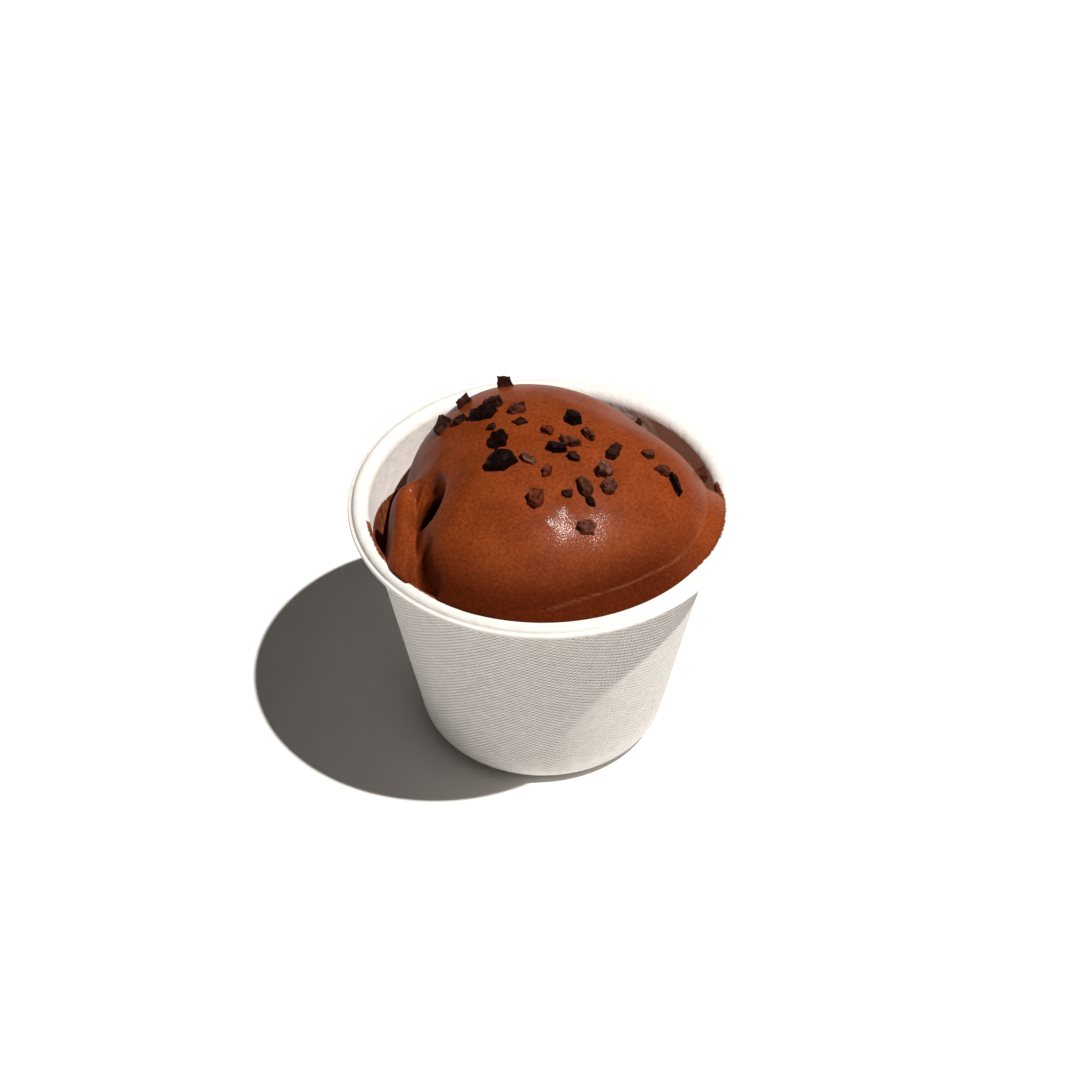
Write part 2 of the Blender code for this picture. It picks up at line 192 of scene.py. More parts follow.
# Gelato mesh
HEAP_SEGMENTS = 640
HEAP_ROWS = 136
HEAP_SIDE_SHARES = (0.1, 0.25, 0.5, 0.75, 1.0)
HEAP_CORNER_STEPS = 4
WALL_TOUCH = 0.02
FLOOR_GAP = 0.3
CONTACT_STEPS = 500
PATH_STEPS = 40
NORMAL_STEP = 0.5

# Low waves all over the top, which calm down at its edge
RELIEF_SIZE = 6.0
RELIEF_HEIGHT = 0.16
RELIEF_CALM = 0.1

# Gelato colours, and the fine grain and crystals of its skin
GELATO_DARKER = (0.188, 0.033, 0.0064)
GELATO_LIGHTER = (0.234, 0.0445, 0.0096)
PATCH_NOISE = (150.0, 3.0)
PATCH_RANGE = (0.36, 0.66)
GRAIN_NOISE = (1700.0, 3.0)
GRAIN_RANGE = (0.3, 0.7)
GRAIN_SHADE = (0.72, 1.28)
GRAIN_BUMP = (0.6, 0.07)
CRYSTAL_NOISE = (2600.0, 2.0)
CRYSTAL_BUMP = (0.6, 0.07)
GELATO_ROUGHNESS = 0.48
GELATO_SPECULAR = 0.05
GELATO_COAT = 0.085
GELATO_COAT_ROUGHNESS = 0.13

# Darker, redder and duller gelato low on the front: partly melted gelato, partly painted shade for the
# steep front flank turning from the light
GELATO_MELT_AND_SHADE = (0.085, 0.012, 0.0016)
DEEP_ROUGHNESS = 0.85
DEEP_COAT_END = 0.7
DEEP_RIGHT = (18.0, 52.0)
DEEP_LEFT = (128.0, 150.0)
DEEP_LEVELS = (59.5, 67.5)

# Painted highlight: a pale line where the collar meets the dome, where its edge catches the light
GELATO_CREASE_HIGHLIGHT = (0.36, 0.14, 0.07)
CREASE_WIDTH = 0.16
CREASE_SHARE = 0.26
CREASE_START = -80.0
CREASE_END = -95.0

# Painted shade that darkens the inside of the pocket, and a painted sheen, pale, on the right shoulder
GELATO_HOLLOW_SHADE = (0.012, 0.0018, 0.0008)
HOLLOW_DEPTHS = (3.0, 7.0)
GELATO_PAINTED_SHEEN = (0.30, 0.13, 0.082)
SHEEN_TURN = (-12.0, 4.0, 50.0, 85.0)
SHEEN_REACH = (0.82, 0.94)
SHEEN_SHARE = 0.6

# Low swells on the dome that catch the sun: centre in plan, radius, height
SWELLS = (
    (4.5, -18.7, 1.3, 0.3),
    (0.9, -22.5, 1.2, 0.16),
    (-2.0, -20.5, 4.5, 0.74),
)

# Cacao nibs: centre in plan, length, width, height, turn in degrees, colour
Nib = namedtuple("Nib", "x y length width height turn tone")
DARK, SHELL, BROWN, RED, GREY = range(5)
NIBS = (
    Nib(-7.8, 20.8, 3.3, 2.6, 2.4, 10, SHELL),
    Nib(-15.8, 15.0, 3.8, 1.6, 2.0, 50, SHELL),
    Nib(-9.8, 9.8, 4.6, 3.2, 1.8, -15, SHELL),
    Nib(-11.8, 6.2, 6.4, 3.6, 2.2, -8, DARK),
    Nib(-20.0, 9.0, 4.8, 3.6, 2.0, 35, SHELL),
    Nib(-16.6, 7.6, 2.8, 2.4, 1.4, 10, SHELL),
    Nib(-5.4, 6.2, 3.7, 3.0, 1.8, 15, BROWN),
    Nib(-4.5, 2.1, 4.0, 2.2, 1.0, -4, SHELL),
    Nib(-10.1, 1.4, 2.2, 1.8, 1.2, 60, SHELL),
    Nib(-8.7, -3.0, 4.4, 3.8, 2.0, 40, DARK),
    Nib(0.9, -0.4, 2.6, 2.4, 1.4, 60, RED),
    Nib(6.0, 3.4, 4.2, 3.8, 2.2, 20, DARK),
    Nib(8.9, -0.7, 4.4, 1.8, 1.6, -50, BROWN),
    Nib(2.6, -5.2, 4.8, 2.4, 1.6, -6, DARK),
    Nib(5.5, -3.4, 5.0, 2.6, 1.4, -10, BROWN),
    Nib(6.0, -7.2, 3.2, 2.2, 1.4, -15, SHELL),
    Nib(13.8, -4.4, 4.0, 3.0, 1.8, 60, SHELL),
    Nib(-8.4, -9.0, 6.8, 4.4, 2.6, 8, DARK),
    Nib(-3.0, -8.4, 4.2, 2.4, 1.2, -35, GREY),
    Nib(0.7, -11.4, 3.4, 2.2, 1.4, 85, RED),
    Nib(11.8, -9.8, 3.8, 3.2, 2.2, 10, GREY),
    Nib(8.0, -14.2, 5.6, 2.6, 2.0, -60, BROWN),
    Nib(9.3, -16.9, 2.8, 1.6, 1.2, -50, DARK),
    Nib(12.8, -13.0, 4.6, 3.6, 1.8, 25, BROWN),
    Nib(4.7, -16.3, 2.6, 2.2, 1.4, 0, SHELL),
    Nib(-1.4, -18.0, 4.6, 4.0, 2.6, 80, RED),
    Nib(8.4, -22.0, 4.8, 3.2, 1.4, -10, BROWN),
    Nib(20.8, -1.7, 3.2, 2.8, 1.3, -10, BROWN),
    Nib(23.7, -4.6, 3.6, 2.6, 1.4, -15, BROWN),
    Nib(26.2, -6.8, 6.2, 1.4, 1.6, -62, DARK),
    Nib(31.8, 4.8, 4.4, 1.8, 2.0, 20, BROWN),
    Nib(19.4, 16.0, 2.4, 1.4, 1.4, 60, SHELL),
)

# Nib colours, in the order of their names above, with mottled patches
NIB_TONES = (
    (0.008, 0.0025, 0.002),
    (0.030, 0.008, 0.005),
    (0.085, 0.024, 0.012),
    (0.10, 0.018, 0.005),
    (0.12, 0.045, 0.028),
)
NIB_NOISE = (900.0, 4.0)
NIB_RANGE = (0.35, 0.7)
NIB_SHADE = (0.35, 1.7)
NIB_BUMP = (0.6, 0.15)
NIB_DULLNESS = 0.55
NIB_SPECULAR = 0.06

# Nibs on the back slope: azimuths, and distance as a share of the dome's reach
HIDDEN_NIBS = 6
HIDDEN_NIB_PLACE = (0.2, 0.8)
HIDDEN_NIB_TONES = 3
HIDDEN_NIB_AZIMUTHS = (58.0, 130.0)
HIDDEN_NIB_SHARES = (0.965, 0.99)
HIDDEN_NIB_SIZE = (2.6, 4.2)
HIDDEN_NIB_FLATNESS = 0.5

# Nib shape: an uneven slab with a tilted top, sunk a little and then roughened
NIB_SIDES = 6
NIB_SPREAD = (0.9, 1.2)
NIB_TOP = (0.66, 0.94)
NIB_TILT = 0.3
NIB_TURN_JITTER = 0.25
NIB_TOP_JITTER = 0.08
NIB_SINK = 0.4
NIB_CUTS = 3
NIB_CRAG_HEIGHT = 0.17
NIB_CRAG_COARSE = 1.1
NIB_CRAG_FINE = 2.7
NIB_COARSE_SHARE = 2.0
NIB_SHARP_ANGLE = 32.0
SEED = 7

# Light and camera
SUN_FROM = (23.12, -9.55, 56.0)
SUN_STRENGTH = 4.4
SUN_ANGLE = 1.0
SUN_COLOUR = (1.0, 0.985, 0.96)
FILL = 0.045
FILL_COLOUR = (1.0, 0.9, 0.8)
CAMERA_PLACE = (0.0, -477.3, 471.5)
CAMERA_PITCH = 41.75
CAMERA_YAW = 0.071
CAMERA_LENS = 104.0
STAGE_RADIUS = 4000.0
STAGE_COLOUR = (0.88, 0.87, 0.86)
STAGE_ROUGHNESS = 0.9
STAGE_SPECULAR = 0.1


def smooth_max(a, b, blend):
    """The higher of two surfaces, rounded where they meet."""
    return 0.5 * (a + b + np.sqrt((a - b) ** 2 + blend ** 2))


def smooth_min(a, b, blend):
    """The lower of two surfaces, rounded where they meet."""
    return 0.5 * (a + b - np.sqrt((a - b) ** 2 + blend ** 2))


def smooth_step(low, high, value):
    """A soft ramp from 0 at low to 1 at high."""
    t = np.clip((value - low) / (high - low), 0.0, 1.0)
    return t * t * (3.0 - 2.0 * t)


def round_the_compass(values, angle):
    """A smooth closed curve through values spaced evenly round a circle (Catmull-Rom)."""
    values = np.array(values)
    place = np.mod(angle / (2.0 * math.pi), 1.0) * len(values)
    index = np.floor(place).astype(int)
    t = place - index
    before, here, after, beyond = (values[(index + step) % len(values)] for step in (-1, 0, 1, 2))
    slope_here = 0.5 * (after - before)
    slope_after = 0.5 * (beyond - here)
    return (
        (2 * t ** 3 - 3 * t ** 2 + 1) * here
        + (t ** 3 - 2 * t ** 2 + t) * slope_here
        + (3 * t ** 2 - 2 * t ** 3) * after
        + (t ** 3 - t ** 2) * slope_after
    )


def smooth_path(points, steps):
    """Points spaced along a smooth open curve through the given ones (Catmull-Rom)."""
    points = [Vector(point) for point in points]
    ends = [points[0] * 2.0 - points[1]] + points + [points[-1] * 2.0 - points[-2]]
    curve = []
    for step in range(steps + 1):
        place = step / steps * (len(points) - 1)
        index = min(int(place), len(points) - 2)
        t = place - index
        before, here, after, beyond = ends[index:index + 4]
        curve.append(0.5 * (2.0 * here + (after - before) * t
                            + (2.0 * before - 5.0 * here + 4.0 * after - beyond) * t ** 2
                            + (3.0 * here - before - 3.0 * after + beyond) * t ** 3))
    return curve


def nearest_on_path(x, y, points):
    """Distance in plan to a path, its height at the nearest place, and how far along that is."""
    best = np.full(np.shape(x), np.inf)
    level = np.zeros(np.shape(x))
    along = np.zeros(np.shape(x))
    curve = smooth_path(points, PATH_STEPS)
    for step, (start, end) in enumerate(zip(curve, curve[1:])):
        run = end - start
        share = ((x - start.x) * run.x + (y - start.y) * run.y) / (run.x ** 2 + run.y ** 2)
        share = np.clip(share, 0.0, 1.0)
        distance = np.hypot(x - start.x - share * run.x, y - start.y - share * run.y)
        closer = distance < best
        best = np.where(closer, distance, best)
        level = np.where(closer, start.z + share * run.z, level)
        along = np.where(closer, (step + share) / PATH_STEPS, along)
    return best, level, along


def dome_offset(x, y):
    """How far out a place is on the dome: 0 in its middle, 1 at its foot."""
    across = x - DOME_CENTRE[0] - DOME_LEAN * (y - DOME_CENTRE[1])
    along = y - DOME_CENTRE[1]
    return np.hypot(across, along) / round_the_compass(DOME_REACH, np.arctan2(along, across))


def dome_height(x, y):
    """The heap's main mass, steep on its left and wide on its right."""
    offset = dome_offset(x, y)
    cap = np.sqrt(np.clip(1.0 - offset ** 2, 0.0, 1.0))
    return DOME_BASE + DOME_RISE * (cap - DOME_FLANK * np.clip(offset - 1.0, 0.0, None))


def collar_height(x, y):
    """The band that is pressed against the rim along the front and the right side."""
    radius = np.hypot(x, y)
    azimuth = np.degrees(np.arctan2(y, x))
    past_end = smooth_step(COLLAR_END, COLLAR_END + COLLAR_FADE, azimuth)
    before_start = smooth_step(-COLLAR_START, COLLAR_FADE - COLLAR_START, -azimuth)
    to_front = smooth_step(*COLLAR_TURN, -azimuth)
    slope = COLLAR_SLOPE_RIGHT + (COLLAR_SLOPE_FRONT - COLLAR_SLOPE_RIGHT) * to_front
    width = COLLAR_WIDTH_RIGHT + (COLLAR_WIDTH_FRONT - COLLAR_WIDTH_RIGHT) * to_front
    fade = np.maximum(past_end, before_start)
    reach = COLLAR_EDGE[0] - COLLAR_SHRINK * fade
    crest = np.sqrt((radius - reach + width) ** 2 + COLLAR_ROUND ** 2)
    rise = slope * (width - crest) - COLLAR_FALL * np.clip(radius - reach, 0.0, None)
    return COLLAR_EDGE[1] + rise - COLLAR_DROP * fade ** 2


def lip_height(x, y):
    """The fold on the left, round across its crest and steep at its sides."""
    distance, crest, along = nearest_on_path(x, y, LIP_PATH)
    half_width = np.interp(along, np.linspace(0.0, 1.0, len(LIP_HALF_WIDTHS)), LIP_HALF_WIDTHS)
    offset = distance / half_width
    section = 1.0 - np.sqrt(np.clip(1.0 - offset ** 2, 0.0, 1.0))
    return crest - LIP_DEPTH * section - LIP_FALL * np.clip(distance - half_width, 0.0, None)


def pocket_depth(x, y):
    """How deep the hollow between the lip and the dome is: full in its middle, none past its edge."""
    turn = math.radians(POCKET_TURN)
    across = (x - POCKET_CENTRE[0]) * math.cos(turn) + (y - POCKET_CENTRE[1]) * math.sin(turn)
    along = (y - POCKET_CENTRE[1]) * math.cos(turn) - (x - POCKET_CENTRE[0]) * math.sin(turn)
    spread = np.hypot(across / POCKET_HALF_SIZE[0], along / POCKET_HALF_SIZE[1])
    deepening = smooth_step(*POCKET_PLUNGE, along / POCKET_HALF_SIZE[1])
    share = 1.0 - (1.0 - POCKET_BACK_SHARE) * deepening
    return POCKET_DEPTH * share * (1.0 - smooth_step(POCKET_SIDE, 1.0, spread))


def groove_height(x, y):
    """The dark groove below the pocket."""
    distance, bottom, _ = nearest_on_path(x, y, GROOVE_PATH)
    return bottom + GROOVE_DEPTH * (distance / GROOVE_HALF_WIDTH) ** 2


def heap_height(x, y):
    """The top surface of the gelato, in millimetres over the table."""
    height = smooth_max(dome_height(x, y), CREVICE_LEVEL, CREVICE_BLEND)
    height = smooth_max(height, collar_height(x, y), COLLAR_BLEND)
    height = smooth_max(height, lip_height(x, y), LIP_BLEND)
    height = height - pocket_depth(x, y)
    return smooth_min(height, groove_height(x, y), GROOVE_BLEND)


def swell_height(x, y):
    """The low swells, which round off to nothing."""
    return sum(height * np.exp(-((x - centre_x) ** 2 + (y - centre_y) ** 2) / (2.0 * radius ** 2))
               for centre_x, centre_y, radius, height in SWELLS)


def cup_inside_radius(height):
    """Inner radius of the cup at a height, up to the rounded inside edge of its bead."""
    middle = BEAD_TOP - BEAD_INSIDE
    wall = BASE_RADIUS - WALL + WALL_SLOPE * np.minimum(height, middle)
    rise = np.clip((height - middle) / BEAD_INSIDE, 0.0, 1.0)
    edge_radius = BEAD_RADIUS - (BASE_RADIUS - WALL + WALL_SLOPE * middle)
    return wall + edge_radius * (1.0 - np.sqrt(1.0 - rise ** 2))


def arc(centre, radius_out, radius_up, start, end, steps):
    """Points of an elliptical arc in (radius, height), with angles in degrees."""
    points = []
    for step in range(steps + 1):
        angle = math.radians(start + (end - start) * step / steps)
        points.append((centre[0] + radius_out * math.cos(angle),
                       centre[1] + radius_up * math.sin(angle)))
    return points


def lathe(name, rings):
    """A closed mesh from rings of points, one below the next, with a pole at each end."""
    rows, segments = rings.shape[:2]
    points = rings.reshape(-1, 3)
    vertices = np.vstack([points, rings[0].mean(axis=0), rings[-1].mean(axis=0)]) * MM
    here = np.arange(segments)
    after = (here + 1) % segments
    faces = np.stack([np.full(segments, len(points)), here, after], axis=1).tolist()
    last_row = (rows - 1) * segments
    last_pole = np.full(segments, len(points) + 1)
    faces += np.stack([last_pole, last_row + after, last_row + here], axis=1).tolist()
    for row in range(rows - 1):
        start = row * segments
        below = start + segments
        faces += np.stack([start + here, below + here, below + after, start + after], axis=1).tolist()
    mesh = bpy.data.meshes.new(name)
    mesh.from_pydata(vertices.tolist(), [], faces)
    mesh.update()
    return mesh


def add_values(mesh, name, values):
    """Store one number for each point of a mesh, for its material to read."""
    attribute = mesh.attributes.new(name, "FLOAT", "POINT")
    attribute.data.foreach_set("value", np.asarray(values, dtype=np.float32))


def add_piece(name, mesh, material, replaced=None):
    """Link a piece of the object with its material, and hide the part that it replaces."""
    item = bpy.data.objects.new(name, mesh)
    bpy.context.scene.collection.objects.link(item)
    mesh.materials.append(material)
    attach(item, "root")
    if replaced:
        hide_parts(replaced)
    return item


def contact_radii(azimuths):
    """Where the gelato's top meets the cup's wall along each meridian."""
    radius = np.linspace(0.0, BEAD_RADIUS, CONTACT_STEPS)
    reach = np.zeros(len(azimuths))
    for index, azimuth in enumerate(azimuths):
        height = heap_height(radius * math.cos(azimuth), radius * math.sin(azimuth))
        room = cup_inside_radius(height) - WALL_TOUCH - radius
        inside = room > 0.0
        if inside.all():
            reach[index] = radius[-1]
            continue
        first = int(np.argmin(inside))
        share = room[first - 1] / (room[first - 1] - room[first])
        reach[index] = radius[first - 1] + share * (radius[first] - radius[first - 1])
    return reach


def noise_node(tree, place, scale, detail):
    """A noise texture in the object's own coordinates."""
    node = tree.nodes.new("ShaderNodeTexNoise")
    node.inputs["Scale"].default_value = scale
    node.inputs["Detail"].default_value = detail
    tree.links.new(place, node.inputs["Vector"])
    return node.outputs["Fac"]


def remapped(tree, value, low, high, new_low, new_high):
    """A value stretched from one range to another."""
    node = tree.nodes.new("ShaderNodeMapRange")
    node.inputs["From Min"].default_value = low
    node.inputs["From Max"].default_value = high
    node.inputs["To Min"].default_value = new_low
    node.inputs["To Max"].default_value = new_high
    tree.links.new(value, node.inputs["Value"])
    return node.outputs["Result"]


def two_colours(tree, value, low, high, first, second):
    """A colour ramp between two colours."""
    node = tree.nodes.new("ShaderNodeValToRGB")
    for element, position, colour in zip(node.color_ramp.elements, (low, high), (first, second)):
        element.position = position
        element.color = (*colour, 1.0)
    tree.links.new(value, node.inputs["Fac"])
    return node.outputs["Color"]


def mixed(tree, share, first, second):
    """One colour laid over another by a share. The second is a plain colour or a node's output."""
    node = tree.nodes.new("ShaderNodeMix")
    node.data_type = "RGBA"
    tree.links.new(share, node.inputs["Factor"])
    tree.links.new(first, node.inputs["A"])
    if isinstance(second, tuple):
        node.inputs["B"].default_value = (*second, 1.0)
    else:
        tree.links.new(second, node.inputs["B"])
    return node.outputs["Result"]


def multiplied(tree, value, factor):
    """A value times a constant."""
    node = tree.nodes.new("ShaderNodeMath")
    node.operation = "MULTIPLY"
    node.inputs[1].default_value = factor
    tree.links.new(value, node.inputs[0])
    return node.outputs["Value"]


def joined(tree, operation, *values):
    """One or two values put through an arithmetic operation."""
    node = tree.nodes.new("ShaderNodeMath")
    node.operation = operation
    for index, value in enumerate(values):
        tree.links.new(value, node.inputs[index])
    return node.outputs["Value"]


def scaled(tree, colour, factor):
    """A colour made lighter or darker by a value."""
    node = tree.nodes.new("ShaderNodeVectorMath")
    node.operation = "SCALE"
    tree.links.new(colour, node.inputs[0])
    tree.links.new(factor, node.inputs["Scale"])
    return node.outputs["Vector"]


def stored(tree, name):
    """A value stored in the mesh."""
    node = tree.nodes.new("ShaderNodeAttribute")
    node.attribute_name = name
    return node.outputs["Fac"]


def bumped(tree, height, strength, distance):
    """A normal disturbed by a height in millimetres."""
    node = tree.nodes.new("ShaderNodeBump")
    node.inputs["Strength"].default_value = strength
    node.inputs["Distance"].default_value = distance * MM
    tree.links.new(height, node.inputs["Height"])
    return node.outputs["Normal"]


def new_material(name):
    """A material with its node tree, its shader and the object's own coordinates."""
    material = bpy.data.materials.new(name)
    material.use_nodes = True
    tree = material.node_tree
    place = tree.nodes.new("ShaderNodeTexCoord").outputs["Object"]
    return material, tree, tree.nodes["Principled BSDF"], place


def gelato_material():
    """Churned gelato: a matt skin with a fine sparkle, darker and redder low on the front (partly melted
    gelato, partly painted shade), with painted shade in the pocket, a painted sheen on the right
    shoulder and a painted highlight along the crease.
    """
    material, tree, shader, place = new_material("chocolate_gelato")
    patches = noise_node(tree, place, *PATCH_NOISE)
    grain = noise_node(tree, place, *GRAIN_NOISE)
    crystals = noise_node(tree, place, *CRYSTAL_NOISE)
    melt_and_shade = stored(tree, "melt_and_shade")
    colour = two_colours(tree, patches, *PATCH_RANGE, GELATO_DARKER, GELATO_LIGHTER)
    # Painted shade low on the front (partly melted gelato), a painted highlight along the crease, a
    # painted sheen on the right shoulder and painted shade inside the pocket
    colour = mixed(tree, melt_and_shade, colour, GELATO_MELT_AND_SHADE)
    colour = mixed(tree, stored(tree, "crease_highlight"), colour, GELATO_CREASE_HIGHLIGHT)
    colour = mixed(tree, stored(tree, "painted_sheen"), colour, GELATO_PAINTED_SHEEN)
    colour = mixed(tree, stored(tree, "hollow_shade"), colour, GELATO_HOLLOW_SHADE)
    speckle = remapped(tree, grain, *GRAIN_RANGE, *GRAIN_SHADE)
    tree.links.new(scaled(tree, colour, speckle), shader.inputs["Base Color"])
    tree.links.new(bumped(tree, grain, *GRAIN_BUMP), shader.inputs["Normal"])
    tree.links.new(bumped(tree, crystals, *CRYSTAL_BUMP), shader.inputs["Coat Normal"])
    roughness = remapped(tree, melt_and_shade, 0.0, 1.0, GELATO_ROUGHNESS, DEEP_ROUGHNESS)
    tree.links.new(roughness, shader.inputs["Roughness"])
    coat = remapped(tree, melt_and_shade, 0.0, DEEP_COAT_END, GELATO_COAT, 0.0)
    tree.links.new(coat, shader.inputs["Coat Weight"])
    shader.inputs["Specular IOR Level"].default_value = GELATO_SPECULAR
    shader.inputs["Coat Roughness"].default_value = GELATO_COAT_ROUGHNESS
    return material


def make_gelato():
    """The gelato, from the cup's floor up to the top of the dome, as one fine mesh."""
    azimuths = np.arange(HEAP_SEGMENTS) * 2.0 * math.pi / HEAP_SEGMENTS
    reach = contact_radii(azimuths)
    shares = np.arange(1, HEAP_ROWS + 1) / HEAP_ROWS
    radius = shares[:, None] * reach[None, :]
    x = radius * np.cos(azimuths)
    y = radius * np.sin(azimuths)
    top = np.stack([x, y, heap_height(x, y)], axis=-1)
    contact = top[-1, :, 2]
    waves = [noise.noise(Vector(point) / RELIEF_SIZE) for point in top.reshape(-1, 3)]
    calm = smooth_step(0.0, RELIEF_CALM, 1.0 - shares)[:, None]
    top[..., 2] += RELIEF_HEIGHT * calm * np.reshape(waves, x.shape) + swell_height(x, y)
    bottom = FLOOR + FLOOR_GAP
    corner = BASE_CORNER - WALL
    middle = BEAD_TOP - BEAD_INSIDE
    side = []
    for share in HEAP_SIDE_SHARES:
        level = contact + (bottom + corner - contact) * share
        wall = cup_inside_radius(level) - WALL_TOUCH
        side.append(np.stack([wall * np.cos(azimuths), wall * np.sin(azimuths), level], axis=-1))
    foot = float(cup_inside_radius(bottom + corner)) - FLOOR_GAP
    foot_arc = arc((foot - corner, bottom + corner), corner, corner, 0.0, -90.0, HEAP_CORNER_STEPS)
    for out, level in foot_arc[1:]:
        side.append(np.stack([out * np.cos(azimuths), out * np.sin(azimuths),
                              np.full(HEAP_SEGMENTS, level)], axis=-1))
    rings = np.concatenate([top, np.array(side)])
    mesh = lathe("gelato_surface", rings)
    mesh.shade_smooth()
    flat_x = rings[..., 0].ravel()
    flat_y = rings[..., 1].ravel()
    poles = (0.0, 0.0)
    azimuth = np.degrees(np.arctan2(flat_y, flat_x))
    # Darker low on the front: partly melted gelato, partly painted shade
    front = smooth_step(*DEEP_RIGHT, -azimuth) * (1.0 - smooth_step(*DEEP_LEFT, -azimuth))
    low = 1.0 - smooth_step(*DEEP_LEVELS, rings[..., 2].ravel())
    add_values(mesh, "melt_and_shade", np.append(front * low, poles))
    # Painted shade inside the pocket, darker deeper down
    hollow_shade = smooth_step(*HOLLOW_DEPTHS, pocket_depth(flat_x, flat_y))
    add_values(mesh, "hollow_shade", np.append(hollow_shade, poles))
    # Painted sheen, pale, on the right shoulder near the dome's foot
    turned = smooth_step(*SHEEN_TURN[:2], azimuth) * (1.0 - smooth_step(*SHEEN_TURN[2:], azimuth))
    painted_sheen = SHEEN_SHARE * turned * smooth_step(*SHEEN_REACH, dome_offset(flat_x, flat_y))
    add_values(mesh, "painted_sheen", np.append(painted_sheen, poles))
    # Painted highlight along the crease where the collar meets the dome
    over = collar_height(flat_x, flat_y) - dome_height(flat_x, flat_y)
    along = smooth_step(-CREASE_END, -CREASE_START, -azimuth)
    crease_highlight = CREASE_SHARE * np.exp(-(over / CREASE_WIDTH) ** 2)
    crease_highlight = crease_highlight * np.where(azimuth > CREASE_START, 1.0, along)
    add_values(mesh, "crease_highlight", np.append(crease_highlight, poles))
    return add_piece("gelato_surface", mesh, gelato_material(), "gelato")


def surface_normal(x, y):
    """The way the gelato's main surface faces at a place in plan."""
    slope_x = (nib_level(x + NORMAL_STEP, y) - nib_level(x - NORMAL_STEP, y)) / (2.0 * NORMAL_STEP)
    slope_y = (nib_level(x, y + NORMAL_STEP) - nib_level(x, y - NORMAL_STEP)) / (2.0 * NORMAL_STEP)
    return Vector((-slope_x, -slope_y, 1.0)).normalized()


def nib_level(x, y):
    """The surface that the nibs lie on: the dome with its collar."""
    height = smooth_max(dome_height(x, y), CREVICE_LEVEL, CREVICE_BLEND)
    return float(smooth_max(height, collar_height(x, y), COLLAR_BLEND))


def hidden_nibs(draw):
    """A few nibs on the back slope, which the viewer doesn't see."""
    nibs = []
    first, last = HIDDEN_NIB_AZIMUTHS
    for index in range(HIDDEN_NIBS):
        place = (index + draw.uniform(*HIDDEN_NIB_PLACE)) / HIDDEN_NIBS
        azimuth = math.radians(first + (last - first) * place)
        reach = float(round_the_compass(DOME_REACH, np.array(azimuth)))
        radius = draw.uniform(*HIDDEN_NIB_SHARES) * reach
        length, width = (draw.uniform(*HIDDEN_NIB_SIZE) for _ in range(2))
        x = DOME_CENTRE[0] + radius * math.cos(azimuth) + DOME_LEAN * radius * math.sin(azimuth)
        y = DOME_CENTRE[1] + radius * math.sin(azimuth)
        height = HIDDEN_NIB_FLATNESS * width
        nibs.append(Nib(x, y, length, width, height, draw.uniform(0.0, 180.0), index % HIDDEN_NIB_TONES))
    return nibs


def nib_points(nib, draw):
    """Corners of one nib about its middle: an uneven slab, smaller on top, with a tilted face."""
    points = []
    start = draw.uniform(0.0, 1.0)
    slope = draw.uniform(-NIB_TILT, NIB_TILT)
    for corner in range(NIB_SIDES):
        place = corner + start + draw.uniform(-NIB_TURN_JITTER, NIB_TURN_JITTER)
        angle = 2.0 * math.pi * place / NIB_SIDES
        foot = draw.uniform(*NIB_SPREAD)
        top = foot * draw.uniform(*NIB_TOP)
        x = math.cos(angle)
        y = math.sin(angle)
        rise = 0.5 + slope * x * top + draw.uniform(-NIB_TOP_JITTER, NIB_TOP_JITTER)
        points.append((x * foot * nib.length / 2, y * foot * nib.width / 2, -nib.height / 2))
        points.append((x * top * nib.length / 2, y * top * nib.width / 2, rise * nib.height))
    return points


def nib_shape(nib, draw):
    """One nib in place: a broken bit of bean with rough faces, set a little into the gelato."""
    normal = surface_normal(nib.x, nib.y)
    place = Vector((nib.x, nib.y, nib_level(nib.x, nib.y)))
    place += (nib.height * 0.5 - NIB_SINK) * normal
    upright = Vector((0.0, 0.0, 1.0)).rotation_difference(normal).to_matrix().to_4x4()
    turn = upright @ Matrix.Rotation(math.radians(nib.turn), 4, "Z")
    shape = bmesh.new()
    for point in nib_points(nib, draw):
        shape.verts.new(point)
    bmesh.ops.convex_hull(shape, input=shape.verts)
    bmesh.ops.subdivide_edges(shape, edges=shape.edges, cuts=NIB_CUTS, use_grid_fill=True)
    shape.normal_update()
    shift = Vector((nib.x, nib.y, nib.length))
    for vertex in shape.verts:
        spot = vertex.co + shift
        coarse = noise.noise(spot * NIB_CRAG_COARSE) * NIB_COARSE_SHARE
        crags = coarse + noise.noise(spot * NIB_CRAG_FINE)
        vertex.co += vertex.normal * crags * NIB_CRAG_HEIGHT
    shape.transform(Matrix.Scale(MM, 4) @ Matrix.Translation(place) @ turn)
    return shape


def nib_material():
    """Broken cacao bean: dark, reddish or greyish faces, mottled and dull."""
    material, tree, shader, place = new_material("cacao_nib")
    colours = tree.nodes.new("ShaderNodeValToRGB")
    ramp = colours.color_ramp
    ramp.interpolation = "CONSTANT"
    for _ in range(len(NIB_TONES) - 2):
        ramp.elements.new(0.5)
    for index, tone in enumerate(NIB_TONES):
        ramp.elements[index].position = index / len(NIB_TONES)
        ramp.elements[index].color = (*tone, 1.0)
    tree.links.new(stored(tree, "tone"), colours.inputs["Fac"])
    patches = noise_node(tree, place, *NIB_NOISE)
    spread = remapped(tree, patches, *NIB_RANGE, *NIB_SHADE)
    tree.links.new(scaled(tree, colours.outputs["Color"], spread), shader.inputs["Base Color"])
    tree.links.new(bumped(tree, patches, *NIB_BUMP), shader.inputs["Normal"])
    shader.inputs["Roughness"].default_value = NIB_DULLNESS
    shader.inputs["Specular IOR Level"].default_value = NIB_SPECULAR
    return material


